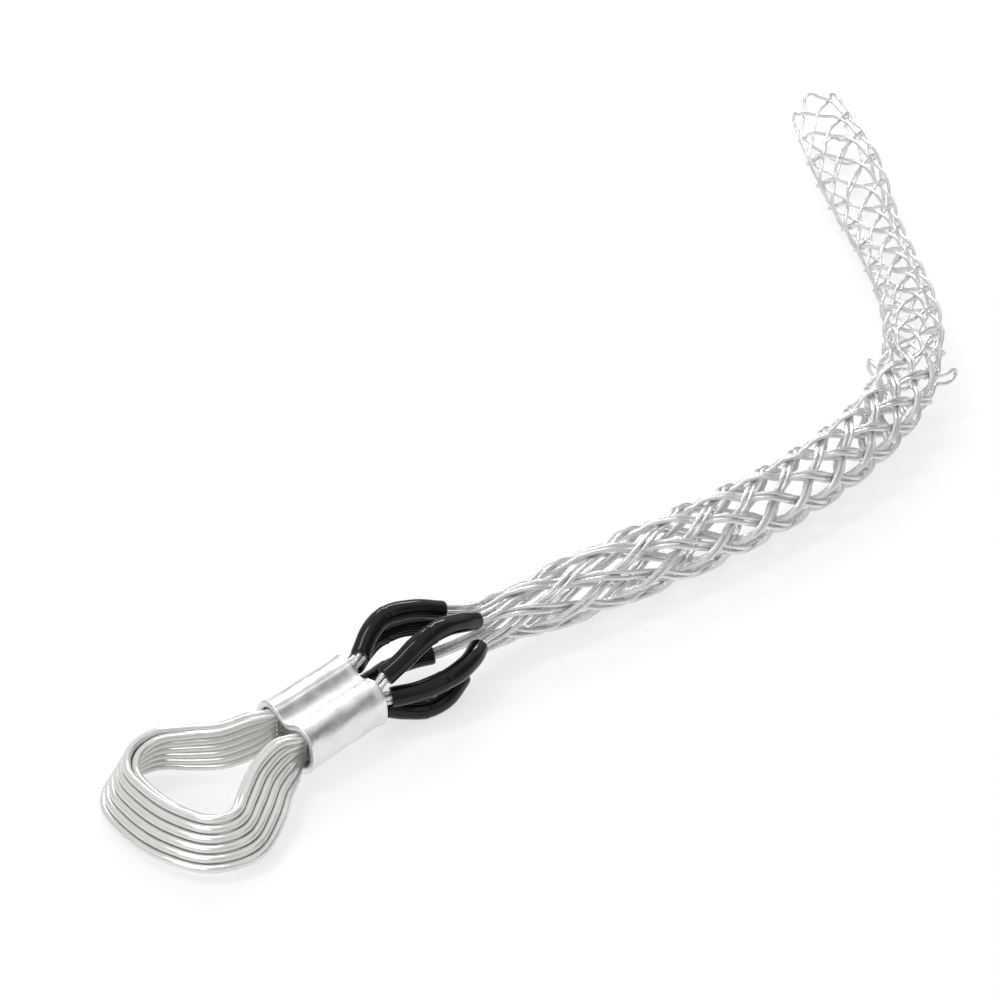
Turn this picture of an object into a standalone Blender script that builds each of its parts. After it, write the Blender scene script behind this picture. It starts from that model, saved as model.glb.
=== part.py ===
"""Cable pulling grip: a pulling eye, a pressed ferrule, six sleeves and a sock woven from wire rope.

Lengths are in metres, +Z is up and the floor is at Z = 0. The tail of the grip runs along +Y.
The axis of the grip is a curve that starts at the eye side of the ferrule. A station s on it is the
distance from there, and each station has a frame: forward, right and up.
"""
import bisect
import math

import bpy
from mathutils import Vector

MM = 0.001

# Wire rope
ROPE_D = 2.0 * MM
ROPE_R = 0.525 * ROPE_D
PAIR_OFFSET = 1.15 * MM
BUNDLE_OFFSET = 1.2 * MM

# Course of the axis: station and heading in degrees from +X, then station and height
HEADINGS = [(0, 47.6), (36, 44.6), (60, 42.5), (80, 40.9), (100, 39.4), (130, 37.7), (160, 36.7),
            (190, 36.7), (215, 37.7), (240, 39.7), (265, 42.7), (290, 46.6), (315, 51.4), (340, 56.7),
            (365, 62.2), (390, 67.6), (420, 73.6), (450, 78.7), (480, 82.7), (520, 86.3), (560, 88.3),
            (610, 89.2), (660, 89.3), (720, 89.1), (780, 88.9), (870, 88.6)]
HEIGHTS = [(0, 15.6), (36, 17.4), (66, 19.4), (93, 18.0), (126, 16.4), (176, 16.1), (210, 16.3),
           (246, 17.4), (286, 19.0), (327, 20.9), (371, 22.4), (402, 22.6), (443, 21.2), (487, 19.8),
           (552, 18.4), (610, 18.2), (650, 19.6), (690, 21.8), (730, 22.8), (780, 22.0), (870, 20.8)]
ROLLS = [(0, 10), (40, 10), (96, 0), (870, 0)]

# Ferrule: two lobes side by side, pressed round twelve ropes each
FERRULE_LENGTH = 36.0 * MM
LOBE_SPACING = 15.0 * MM
LOBE_WIDTH = 15.0 * MM
LOBE_HEIGHT = 20.0 * MM
GROOVE_DEPTH = 4.6 * MM
RIM_FLARE = 0.5 * MM
RIM_LENGTH = 3.0 * MM
RIM_WALL = 1.9 * MM
RIM_POCKET = 4.0 * MM
SLOT_PITCH = 2.34 * MM
MOUTH_BEND = 0.6
SLOT_CLEARANCE = 0.35 * MM
ROPE_GAP = 1.5

# Sleeves: where they begin and end, and how they swell out from the axis
SLEEVE_OUTER_R = 3.8 * MM
SLEEVE_WALL = 0.85 * MM
SLEEVE_SIDES = 8
SLEEVE_STATIONS = [42, 50, 58, 68, 78, 90]
SLEEVE_RADII = [[10.2, 14.2, 16.6, 17.4, 14.6, 8.4], [10.0, 12.6, 15.0, 15.6, 12.8, 8.4],
                [10.6, 16.0, 18.4, 16.4, 12.2, 8.4], [10.2, 14.2, 16.6, 16.6, 13.0, 8.4],
                [10.4, 14.8, 17.2, 16.6, 13.0, 8.4], [10.4, 16.0, 19.4, 19.0, 15.0, 8.4]]
SLEEVE_SPREAD = [[0, 0, 0, 0, 0, 0], [50, 56, 62, 64, 62, 60], [48, 46, 46, 52, 58, 60],
                 [0, 0, 0, 0, 0, 0], [50, 50, 48, 48, 54, 60], [50, 48, 46, 46, 52, 60]]
SLEEVE_ENDS = [85, 88, 80, 84, 78, 79]

# Sock: pitch of each pair of crossing rows, and radius of the woven surface at some rows
DOUBLE_ROWS = 21
SINGLE_ROWS = 24
SOCK_START = 96.0
DOUBLE_END = 402.0
SINGLE_END = 832.0
DOUBLE_PITCH = [18, 18, 19.5, 19.5, 15.5, 15.5, 13, 13, 11.5, 11.5, 11.5, 11.5, 12, 12, 12.5, 12.5,
                13, 13, 13.5, 13.5, 13.5]
SINGLE_PITCH = [14.5, 14.5, 15, 15, 16, 16, 16.5, 16.5, 17, 17, 17.5, 17.5, 18, 18, 19, 19,
                20.5, 20.5, 22.5, 22.5, 26, 26, 28, 28]
SOCK_RADII = [(0, 8.0), (1, 9.4), (2, 11.0), (3, 12.2), (5, 13.2), (7, 13.2), (10, 12.9), (16, 13.1),
              (21, 13.6), (25, 14.0), (30, 13.5), (33, 13.9), (35, 15.2), (37, 17.6), (39, 19.7),
              (41, 20.4), (43, 19.4), (45, 18.6)]
DOUBLE_WAVE = 1.65 * MM
SINGLE_WAVE = 1.2 * MM
SOCK_TWIST = 30.0
FIRST_ROW_SPREAD = 1.2

# Hairpin loops at the end of the double weave: back from the row, half width and height
HAIRPIN = [(6.5, 2.1, 0.8), (3.5, 2.0, 4.3), (-1.5, 1.8, 6.6), (-5.5, 0.0, 7.8)]
# Round loops at the tail: back from the last row, half width
TAIL_LOOP = [(11.0, 5.0), (4.4, 3.9), (0.4, 2.1), (-1.2, 0.0)]

# Eye: course of the middle of the band from station 0, seen from above: along +X, along +Y,
# height, lean in degrees and row pitch
EYE_COURSE = [(-12.0, 2.4, 14.9, 0, 2.9), (-21.6, -0.4, 12.8, 2, 3.0), (-33.2, -0.5, 12.0, 8, 3.1),
              (-44.9, -1.2, 11.6, 18, 3.15), (-53.2, -8.6, 11.0, 28, 3.15),
              (-54.0, -20.2, 10.4, 36, 3.15), (-44.4, -33.3, 9.9, 41, 3.15),
              (-31.4, -43.3, 9.7, 42, 3.15), (-17.9, -47.8, 9.8, 38, 3.15),
              (-8.0, -44.0, 10.3, 42, 3.15), (-4.4, -33.0, 11.2, 50, 3.1),
              (-2.4, -20.5, 12.6, 42, 3.0), (1.6, -10.5, 14.0, 20, 2.9)]
EYE_LAYER_PITCH = 3.45 * MM
COAT_OUTER = 1.32 * MM
COAT_BORE = 1.02 * MM

RIGHT_SLEEVES = (0, 1, 5)
TOP_GROUP = (1, 2)
BOTTOM_GROUP = (4, 5)


def table(rows, x):
    """Smooth value of a table at x: a cubic through its points, flat past its ends."""
    if x <= rows[0][0]:
        return rows[0][1]
    if x >= rows[-1][0]:
        return rows[-1][1]
    i = 1
    while rows[i][0] < x:
        i += 1
    (x0, y0), (x1, y1) = rows[i - 1], rows[i]
    span = x1 - x0

    def slope(k):
        if k == 0 or k == len(rows) - 1:
            return 0.0
        return (rows[k + 1][1] - rows[k - 1][1]) / (rows[k + 1][0] - rows[k - 1][0])

    t = (x - x0) / span
    m0, m1 = slope(i - 1) * span, slope(i) * span
    t2, t3 = t * t, t * t * t
    return ((2 * t3 - 3 * t2 + 1) * y0 + (t3 - 2 * t2 + t) * m0
            + (3 * t2 - 2 * t3) * y1 + (t3 - t2) * m1)


def run_axis():
    """Points of the axis at every millimetre from station 0."""
    points = []
    x, y = 0.0, 0.0
    for s in range(-2, 872):
        points.append((x, y))
        heading = math.radians(table(HEADINGS, s + 0.5))
        x += math.cos(heading)
        y += math.sin(heading)
    first = points[2]
    return [(px - first[0], py - first[1]) for px, py in points]


AXIS = run_axis()


def frame(s):
    """Point, forward, right and up of the axis at station s, in millimetres."""
    k = min(max(int(math.floor(s)) + 2, 0), len(AXIS) - 2)
    t = s + 2 - k
    x = AXIS[k][0] * (1 - t) + AXIS[k + 1][0] * t
    y = AXIS[k][1] * (1 - t) + AXIS[k + 1][1] * t
    heading = math.radians(table(HEADINGS, s))
    climb = table(HEIGHTS, s + 0.5) - table(HEIGHTS, s - 0.5)
    forward = Vector((math.cos(heading), math.sin(heading), climb)).normalized()
    right = Vector((math.sin(heading), -math.cos(heading), 0.0))
    up = right.cross(forward)
    roll = math.radians(table(ROLLS, s))
    rolled_right = right * math.cos(roll) - up * math.sin(roll)
    rolled_up = up * math.cos(roll) + right * math.sin(roll)
    return Vector((x, y, table(HEIGHTS, s))) * MM, forward, rolled_right, rolled_up


def on_axis(s, side, rise):
    """Point at station s, side metres to the right and rise metres up."""
    point, _, right, up = frame(s)
    return point + right * side + up * rise


def round_axis(s, angle, radius):
    """Point at station s and its outward direction, at an angle that turns from right to up."""
    point, _, right, up = frame(s)
    outward = right * math.cos(angle) + up * math.sin(angle)
    return point + outward * radius, outward


def sweep(points, outwards, radius, sides, turn):
    """Rings of a tube along the points; the ring's first corner is turned from outward."""
    rings = []
    count = len(points)
    last = None
    for i, point in enumerate(points):
        before = (points[i] - points[i - 1]).normalized() if i > 0 else None
        after = (points[i + 1] - points[i]).normalized() if i < count - 1 else None
        if before is None:
            along = after
        elif after is None:
            along = before
        else:
            along = (before + after).normalized()
        mitre = 1.0
        bend = None
        if before is not None and after is not None:
            mitre = 1.0 / max(before.dot(along), 0.6)
            bend = before - after
            bend = bend - along * bend.dot(along)
        out = outwards[i] - along * outwards[i].dot(along)
        out.normalize()
        side = along.cross(out)
        if last is not None:
            step = 2 * math.pi / sides
            seen = math.atan2(last.dot(side), last.dot(out))
            shift = round(seen / step) * step
            out, side = (out * math.cos(shift) + side * math.sin(shift),
                         side * math.cos(shift) - out * math.sin(shift))
        last = out
        ring = []
        for k in range(sides):
            a = turn + 2 * math.pi * k / sides
            offset = (out * math.cos(a) + side * math.sin(a)) * radius
            if bend is not None and bend.length > 1e-9:
                direction = bend.normalized()
                offset += direction * (offset.dot(direction) * (mitre - 1.0))
            ring.append(point + offset)
        rings.append(ring)
    return rings


def mesh_from(name, verts, faces, material, smooth=True):
    mesh = bpy.data.meshes.new(name)
    mesh.from_pydata([tuple(v) for v in verts], [], faces)
    mesh.materials.append(material)
    mesh.validate()
    mesh.update()
    obj = bpy.data.objects.new(name, mesh)
    bpy.context.scene.collection.objects.link(obj)
    if smooth:
        mesh.shade_smooth()
        mesh.set_sharp_from_angle(angle=math.radians(40))
    return obj


def solid_tube(name, rings, material):
    """A closed rod from rings, with flat ends."""
    sides = len(rings[0])
    verts = [v for ring in rings for v in ring]
    faces = [tuple(reversed(range(sides)))]
    for i in range(len(rings) - 1):
        for k in range(sides):
            n = (k + 1) % sides
            faces.append((i * sides + k, i * sides + n, (i + 1) * sides + n, (i + 1) * sides + k))
    start = (len(rings) - 1) * sides
    faces.append(tuple(range(start, start + sides)))
    return mesh_from(name, verts, faces, material)


def hollow_tube(name, outer, inner, material):
    """A pipe from outer and inner rings, open at both ends, with walls split along the same diagonals."""
    sides = len(outer[0])
    count = len(outer)
    verts = [v for ring in outer for v in ring] + [v for ring in inner for v in ring]
    shift = count * sides
    faces = []
    for i in range(count - 1):
        for k in range(sides):
            n = (k + 1) % sides
            a, b, c, d = i * sides + k, i * sides + n, (i + 1) * sides + n, (i + 1) * sides + k
            faces += [(a, b, c), (a, c, d)]
            faces += [(shift + a, shift + c, shift + b), (shift + a, shift + d, shift + c)]
    end = (count - 1) * sides
    for k in range(sides):
        n = (k + 1) % sides
        faces.append((n, k, shift + k, shift + n))
        faces.append((end + k, end + n, shift + end + n, shift + end + k))
    return mesh_from(name, verts, faces, material)


def material(name, colour, roughness, metallic, alpha=1.0):
    mat = bpy.data.materials.new(name)
    mat.use_nodes = True
    shader = mat.node_tree.nodes["Principled BSDF"]
    shader.inputs["Base Color"].default_value = (*colour, 1.0)
    shader.inputs["Roughness"].default_value = roughness
    shader.inputs["Metallic"].default_value = metallic
    shader.inputs["Alpha"].default_value = alpha
    mat.diffuse_color = (*colour, 1.0)
    return mat


def row_stations():
    """Station of every crossing row, and of nothing else."""
    rows = [SOCK_START]
    scale = (DOUBLE_END - SOCK_START) / sum(DOUBLE_PITCH)
    for pitch in DOUBLE_PITCH:
        rows.append(rows[-1] + pitch * scale)
    scale = (SINGLE_END - DOUBLE_END) / sum(SINGLE_PITCH)
    for pitch in SINGLE_PITCH:
        rows.append(rows[-1] + pitch * scale)
    return rows


ROWS = row_stations()
LAST_ROW = DOUBLE_ROWS + SINGLE_ROWS


def row_at(s):
    """Row number at station s, with its fraction."""
    k = min(max(bisect.bisect_right(ROWS, s) - 1, 0), LAST_ROW - 1)
    return k + (s - ROWS[k]) / (ROWS[k + 1] - ROWS[k])


def twist(row):
    """Turn that all strands share, in radians."""
    return math.radians(SOCK_TWIST) * min(max(row / DOUBLE_ROWS, 0.0), 1.0)


def sock_radius(row):
    return table(SOCK_RADII, row) * MM


def strand_angle(hand, index, row):
    """Angle of a strand's middle: hand is +1 or -1."""
    return math.radians(60 * index) + hand * math.pi * row / 6 + twist(row)


def leg_points(hand, index, offset_sign, rows, wave, paired):
    """Points of one rope of a strand at the given rows, with their outward directions."""
    points = []
    for row in rows:
        pitch = ROWS[min(row + 1, LAST_ROW)] - ROWS[max(row - 1, 0)]
        pitch *= MM / (min(row + 1, LAST_ROW) - max(row - 1, 0))
        radius = sock_radius(row)
        slope = math.atan2(math.pi * radius / 6, pitch)
        offset = offset_sign * PAIR_OFFSET if paired else 0.0
        if row == 0:
            offset *= FIRST_ROW_SPREAD
        shift = -hand * offset / (2 * math.sin(slope))
        s = ROWS[row] + shift / MM
        if row == 0:
            s = max(s, ROWS[0])
        place = row_at(s)
        angle = strand_angle(hand, index, place) + offset / (math.cos(slope) * sock_radius(place))
        over = hand * (1 if row % 2 == 0 else -1)
        points.append(round_axis(s, angle, sock_radius(place) + over * wave))
    return points


def loop_points(course, row, hand, index, lift):
    """Points of a strand's way into a loop: hand +1 enters from below its middle angle."""
    points = []
    middle = strand_angle(hand, index, row)
    for step in course:
        back, half = step[0], step[1] * MM
        rise = step[2] * MM if lift else 0.0
        s = ROWS[row] - back
        radius = sock_radius(min(row_at(s), LAST_ROW))
        points.append(round_axis(s, middle - hand * half / radius, radius + rise))
    return points


def sleeve_angle(group, spread):
    """Angle of a sleeve, drawn towards its lobe by the spread in degrees."""
    if group in (0, 3):
        return math.radians(60 * group)
    base = 0 if group in RIGHT_SLEEVES else 180
    turn = {1: 1, 5: -1, 2: -1, 4: 1}[group]
    return math.radians(base + turn * spread)


def sleeve_middle(group, beyond):
    """Points of a sleeve's middle line, and of its ropes beyond it, with their outward directions."""
    radii = list(zip(SLEEVE_STATIONS, SLEEVE_RADII[group]))
    spreads = list(zip(SLEEVE_STATIONS, SLEEVE_SPREAD[group]))
    end = SLEEVE_ENDS[group]
    stations = [s for s in SLEEVE_STATIONS if s < end - 3] + [end]
    if beyond and SLEEVE_STATIONS[-1] > end + 3:
        stations.append(SLEEVE_STATIONS[-1])
    points = []
    for s in stations:
        points.append(round_axis(s, sleeve_angle(group, table(spreads, s)), table(radii, s) * MM))
    return points


def bundle_point(middle, group, hand, offset_sign):
    """Places of one rope in its sleeve: left-hand pair outside, right-hand pair inside."""
    places = []
    count = len(middle)
    for i, (point, outward) in enumerate(middle):
        ahead = middle[min(i + 1, count - 1)][0] - middle[max(i - 1, 0)][0]
        ahead.normalize()
        out = (outward - ahead * outward.dot(ahead)).normalized()
        around = out.cross(ahead)
        places.append((point + (out * hand + around * offset_sign) * BUNDLE_OFFSET, out))
    return places


def slot_of(group, hand, offset_sign):
    """Row from the top and column sign of a rope in its lobe."""
    outward = math.radians(60 * group)
    x = hand * math.cos(outward) - offset_sign * math.sin(outward)
    y = hand * math.sin(outward) + offset_sign * math.cos(outward)
    corner = round((math.degrees(math.atan2(y, x)) - 45) / 90) * 90 + 45
    column = 1 if math.cos(math.radians(corner)) > 0 else -1
    low = 0 if math.sin(math.radians(corner)) > 0 else 1
    base = 0 if group in TOP_GROUP else 4 if group in BOTTOM_GROUP else 2
    return base + low, column


def slot_place(group_side, row, column):
    """Side and rise of a slot: group_side is +1 for the right lobe."""
    return (group_side * LOBE_SPACING / 2 + column * SLOT_PITCH / 2, (2.5 - row) * SLOT_PITCH)


def side_of(group):
    return 1 if group in RIGHT_SLEEVES else -1


def leg_to_ferrule(group, hand, offset_sign, inner_end):
    """A leg from inside the ferrule, through its sleeve: points with outward directions."""
    row, column = slot_of(group, hand, offset_sign)
    side, rise = slot_place(side_of(group), row, column)
    length = FERRULE_LENGTH / MM
    points = []
    for s in (inner_end, length - MOUTH_BEND):
        outward = frame(s)[3]
        points.append((on_axis(s, side, rise), outward))
    points += bundle_point(sleeve_middle(group, True), group, hand, offset_sign)
    return points


def eye_frames():
    """Middle, outward and up of the band at each step of the eye."""
    course = [Vector((x, y, z)) * MM for x, y, z, _, _ in EYE_COURSE]
    frames = []
    count = len(course)
    for i, point in enumerate(course):
        ahead = course[min(i + 1, count - 1)] - course[max(i - 1, 0)]
        ahead.z = 0.0
        ahead.normalize()
        out = Vector((-ahead.y, ahead.x, 0.0)) * -1.0
        lean = math.radians(EYE_COURSE[i][3])
        up = Vector((0.0, 0.0, 1.0))
        frames.append((point, out * math.cos(lean) + up * math.sin(lean),
                       up * math.cos(lean) - out * math.sin(lean)))
    return frames


def eye_strand(row, layer):
    """One strand of the eye from the left lobe to the right: layer is +1 outside."""
    points = []
    for (point, out, up), step in zip(eye_frames(), EYE_COURSE):
        pitch = step[4] * MM
        place = point + up * (2.5 - row) * pitch + out * layer * EYE_LAYER_PITCH / 2
        points.append((place, (out + up).normalized()))
    return points


def eye_route(left_group, hand, offset_sign):
    """The eye's part of one rope, from inside the right lobe round to inside the left lobe."""
    row, column = slot_of(left_group, hand, offset_sign)
    layer = -column
    inner_end = FERRULE_LENGTH / MM / 2 - ROPE_GAP
    route = []
    side, rise = slot_place(1, row, layer)
    for s in (inner_end, MOUTH_BEND):
        route.append((on_axis(s, side, rise), frame(s)[3]))
    route += list(reversed(eye_strand(row, layer)))
    side, rise = slot_place(-1, row, column)
    for s in (MOUTH_BEND, inner_end):
        route.append((on_axis(s, side, rise), frame(s)[3]))
    return route


def sock_route(left_group, hand, offset_sign):
    """The rest of one rope: ferrule, sleeve, sock, loop and all the way back."""
    short = offset_sign == hand
    middle = FERRULE_LENGTH / MM / 2
    last = DOUBLE_ROWS if short else LAST_ROW
    partner = (left_group + hand * last) % 6
    route = leg_to_ferrule(left_group, hand, offset_sign, middle)
    for leg_hand, leg_index, leg_sign, back in ((hand, left_group, offset_sign, False),
                                                (-hand, partner, -offset_sign, True)):
        part = leg_points(leg_hand, leg_index, leg_sign, range(DOUBLE_ROWS), DOUBLE_WAVE, True)
        if not short:
            part += leg_points(leg_hand, leg_index, leg_sign, range(DOUBLE_ROWS, LAST_ROW),
                               SINGLE_WAVE, False)
        course = HAIRPIN if short else TAIL_LOOP
        part += loop_points(course, last, leg_hand, leg_index, short)
        if back:
            part.pop()
            part.reverse()
            part += list(reversed(leg_to_ferrule(partner, leg_hand, leg_sign, middle)))
        route += part
    return route


def ferrule_outline(half_width, half_height, spacing, groove):
    """Outline of two lobes side by side, as pairs of side and rise, anticlockwise."""
    outline = []
    steps = 7
    join = spacing / 2 - (half_width - 0.35 * half_width)
    for lobe in (1, -1):
        for k in range(steps + 1):
            a = math.radians(-118 + 236 * k / steps)
            x = math.cos(a) * half_width
            y = math.copysign(abs(math.sin(a)) ** 0.9, math.sin(a)) * half_height
            outline.append((lobe * (spacing / 2 + x), lobe * y))
        outline.append((lobe * join * 0.0, lobe * (half_height - groove)))
    return outline


def build_ferrule(mat):
    """Pressed sleeve with flared rims, a pocket at each end and a slot for each lobe's ropes."""
    length = FERRULE_LENGTH / MM
    rim = RIM_LENGTH / MM
    pocket = RIM_POCKET / MM
    half_w, half_h = LOBE_WIDTH / 2, LOBE_HEIGHT / 2

    def ring(s, grow, groove):
        outline = ferrule_outline(half_w + grow, half_h + grow, LOBE_SPACING, groove)
        return [on_axis(s, side, rise) for side, rise in reversed(outline)]

    def slot_ring(s, lobe):
        half_slot_w = SLOT_PITCH / 2 + ROPE_R + SLOT_CLEARANCE
        half_slot_h = SLOT_PITCH * 2.5 + ROPE_R + SLOT_CLEARANCE
        corner = 0.9 * MM
        shape = [(half_slot_w, -half_slot_h + corner), (half_slot_w, half_slot_h - corner),
                 (half_slot_w - corner, half_slot_h), (corner - half_slot_w, half_slot_h),
                 (-half_slot_w, half_slot_h - corner), (-half_slot_w, corner - half_slot_h),
                 (corner - half_slot_w, -half_slot_h), (half_slot_w - corner, -half_slot_h)]
        return [on_axis(s, lobe * LOBE_SPACING / 2 + x, y) for x, y in reversed(shape)]

    def prism(name, rings, hidden):
        obj = solid_tube(name, rings, mat)
        if hidden:
            obj.hide_render = True
            obj.display_type = "WIRE"
        return obj

    body = prism("ferrule", [ring(0.0, RIM_FLARE, GROOVE_DEPTH), ring(rim, 0.0, GROOVE_DEPTH),
                             ring(length - rim, 0.0, GROOVE_DEPTH),
                             ring(length, RIM_FLARE, GROOVE_DEPTH)], False)
    cutters = []
    for name, start, end in (("pocket_eye", -1.0, pocket), ("pocket_sock", length - pocket, length + 1.0)):
        cutters.append(prism(name, [ring(start, -RIM_WALL, GROOVE_DEPTH),
                                    ring(end, -RIM_WALL, GROOVE_DEPTH)], True))
    for name, lobe in (("slot_left", -1), ("slot_right", 1)):
        cutters.append(prism(name, [slot_ring(pocket - 1.0, lobe), slot_ring(length - pocket + 1.0, lobe)],
                             True))
    for cutter in cutters:
        cut = body.modifiers.new("cut_" + cutter.name, "BOOLEAN")
        cut.object = cutter
        cut.operation = "DIFFERENCE"
        cut.solver = "EXACT"
    return body


def main():
    for obj in list(bpy.data.objects):
        bpy.data.objects.remove(obj, do_unlink=True)

    steel = (0.52, 0.51, 0.49)
    build_ferrule(material("ferrule_aluminium", (0.78, 0.78, 0.77), 0.3, 1.0))

    for group in range(6):
        mat = material("sleeve_plastic_%d" % (group + 1), (0.012, 0.012, 0.013), 0.22, 0.0)
        middle = sleeve_middle(group, False)
        points = [p for p, _ in middle]
        outs = [o for _, o in middle]
        turn = math.pi / SLEEVE_SIDES
        outer = sweep(points, outs, SLEEVE_OUTER_R, SLEEVE_SIDES, turn)
        inner = sweep(points, outs, SLEEVE_OUTER_R - SLEEVE_WALL, SLEEVE_SIDES, turn)
        hollow_tube("leg_sleeve_%d" % (group + 1), outer, inner, mat)

    number = {"long": 0, "short": 0}
    tube = 0
    for group in (2, 3, 4):
        for hand in (1, -1):
            for offset_sign in (1, -1):
                kind = "short" if offset_sign == hand else "long"
                number[kind] += 1
                word = "%s_%d" % (kind, number[kind])
                for start, route in (("eye_rope_", eye_route(group, hand, offset_sign)),
                                     ("wire_rope_", sock_route(group, hand, offset_sign))):
                    mat = material(start + "steel_" + word, steel, 0.35, 1.0)
                    rings = sweep([p for p, _ in route], [o for _, o in route], ROPE_R, 4, 0.0)
                    solid_tube(start + word, rings, mat)

    for row in range(6):
        for layer, word in ((1, "outer"), (-1, "inner")):
            tube += 1
            mat = material("eye_tube_clear_%d" % tube, (0.74, 0.76, 0.70), 0.25, 0.0)
            strand = eye_strand(row, layer)
            points = [p for p, _ in strand]
            outs = [o for _, o in strand]
            outer = sweep(points, outs, COAT_OUTER * math.sqrt(2), 4, 0.0)
            inner = sweep(points, outs, COAT_BORE * math.sqrt(2), 4, 0.0)
            hollow_tube("eye_tube_%s_%d" % (word, row + 1), outer, inner, mat)

    bpy.context.view_layer.update()
    low = [1e9] * 3
    high = [-1e9] * 3
    shown = [o for o in bpy.data.objects if not o.hide_render]
    for obj in shown:
        for vert in obj.data.vertices:
            for k in range(3):
                low[k] = min(low[k], vert.co[k])
                high[k] = max(high[k], vert.co[k])
    shift = Vector((-(low[0] + high[0]) / 2, -(low[1] + high[1]) / 2, -low[2]))
    for obj in bpy.data.objects:
        for vert in obj.data.vertices:
            vert.co += shift


main()
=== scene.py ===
"""Looks of the cable pulling grip: stranded ropes, tubed eye, pressed ferrule and glossy sleeves."""
import math

import bpy
import numpy as np
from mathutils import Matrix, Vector


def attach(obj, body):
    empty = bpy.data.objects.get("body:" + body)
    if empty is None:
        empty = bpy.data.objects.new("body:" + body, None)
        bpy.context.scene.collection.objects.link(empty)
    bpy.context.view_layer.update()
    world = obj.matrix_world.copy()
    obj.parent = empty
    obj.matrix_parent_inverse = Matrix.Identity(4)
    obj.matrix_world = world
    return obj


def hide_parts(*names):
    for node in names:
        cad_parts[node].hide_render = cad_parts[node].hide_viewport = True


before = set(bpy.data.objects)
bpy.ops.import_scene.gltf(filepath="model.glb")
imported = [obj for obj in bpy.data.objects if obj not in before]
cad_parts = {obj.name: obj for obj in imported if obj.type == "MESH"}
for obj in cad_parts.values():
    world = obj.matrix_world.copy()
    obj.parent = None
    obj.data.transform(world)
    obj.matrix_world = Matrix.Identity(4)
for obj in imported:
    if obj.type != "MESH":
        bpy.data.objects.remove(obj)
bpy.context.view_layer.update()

MM = 0.001

# ---------------------------------------------------------------- sizes, as in the part's source
SHIFT = np.array([-132.7782, -328.5586, 0.2598])
HEADINGS = [(0, 47.6), (36, 44.6), (60, 42.5), (80, 40.9), (100, 39.4), (130, 37.7), (160, 36.7),
            (190, 36.7), (215, 37.7), (240, 39.7), (265, 42.7), (290, 46.6), (315, 51.4), (340, 56.7),
            (365, 62.2), (390, 67.6), (420, 73.6), (450, 78.7), (480, 82.7), (520, 86.3), (560, 88.3),
            (610, 89.2), (660, 89.3), (720, 89.1), (780, 88.9), (870, 88.6)]
HEIGHTS = [(0, 15.6), (36, 17.4), (66, 19.4), (93, 18.0), (126, 16.4), (176, 16.1), (210, 16.3),
           (246, 17.4), (286, 19.0), (327, 20.9), (371, 22.4), (402, 22.6), (443, 21.2), (487, 19.8),
           (552, 18.4), (610, 18.2), (650, 19.6), (690, 21.8), (730, 22.8), (780, 22.0), (870, 20.8)]
ROLLS = [(0, 10), (40, 10), (96, 0), (870, 0)]
FERRULE_LENGTH = 36.0
LOBE_SPACING = 15.0
LOBE_WIDTH = 15.0
LOBE_HEIGHT = 20.0
GROOVE_DEPTH = 4.6
SLOT_PITCH = 2.34
PAIR_OFFSET = 1.12
BUNDLE_OFFSET = 1.12
ROPE_R = 1.0
SLOT_ROWS = 6
RUN_IN = 8.0                # straight run of the ropes inside each mouth of the ferrule
MOUTH_BEND = 0.6
CUT_HALF = 1.5              # from the ferrule's middle to a rope's first or last point
SLEEVE_STATIONS = [42, 50, 58, 68, 78, 90]
SLEEVE_RADII = [[10.2, 14.2, 16.6, 17.4, 14.6, 8.4], [10.0, 12.6, 15.0, 15.6, 12.8, 8.4],
                [10.6, 16.0, 18.4, 16.4, 12.2, 8.4], [10.2, 14.2, 16.6, 16.6, 13.0, 8.4],
                [10.4, 14.8, 17.2, 16.6, 13.0, 8.4], [10.4, 16.0, 19.4, 19.0, 15.0, 8.4]]
SLEEVE_SPREAD = [[0, 0, 0, 0, 0, 0], [50, 56, 62, 64, 62, 60], [48, 46, 46, 52, 58, 60],
                 [0, 0, 0, 0, 0, 0], [50, 50, 48, 48, 54, 60], [50, 48, 46, 46, 52, 60]]
SLEEVE_ENDS = [85, 88, 80, 84, 78, 79]
SLEEVE_OUTER_R = 3.8
SLEEVE_INNER_R = 2.9
SLEEVE_STEP = 0.7
SLEEVE_SIDES = 32
DOUBLE_ROWS = 21
SINGLE_ROWS = 24
SOCK_START = 96.0
DOUBLE_END = 402.0
SINGLE_END = 832.0
DOUBLE_PITCH = [18, 18, 19.5, 19.5, 15.5, 15.5, 13, 13, 11.5, 11.5, 11.5, 11.5, 12, 12, 12.5, 12.5,
                13, 13, 13.5, 13.5, 13.5]
SINGLE_PITCH = [14.5, 14.5, 15, 15, 16, 16, 16.5, 16.5, 17, 17, 17.5, 17.5, 18, 18, 19, 19,
                20.5, 20.5, 22.5, 22.5, 26, 26, 28, 28]
SOCK_RADII = [(0, 8.0), (1, 9.4), (2, 11.0), (3, 12.2), (5, 13.2), (7, 13.2), (10, 12.9), (16, 13.1),
              (21, 13.6), (25, 14.0), (30, 13.5), (33, 13.9), (35, 15.2), (37, 17.6), (39, 19.7),
              (41, 20.4), (43, 19.4), (45, 18.6)]
SOCK_TWIST = 30.0
WAVE = 1.06
PAIR_SHARP = 2.0
SINGLE_SHARP = 1.1
HAIRPIN_STOP = 0.75
TAIL_STOP = 0.62
ROPE_STEP = 1.05
HAIRPIN = [(6.5, 2.1, 0.8), (3.5, 2.0, 4.3), (-1.5, 1.8, 6.6), (-5.5, 0.0, 7.8)]
TAIL_LOOP = [(11.0, 5.0), (4.4, 3.9), (0.4, 2.1), (-1.2, 0.0)]
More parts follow.
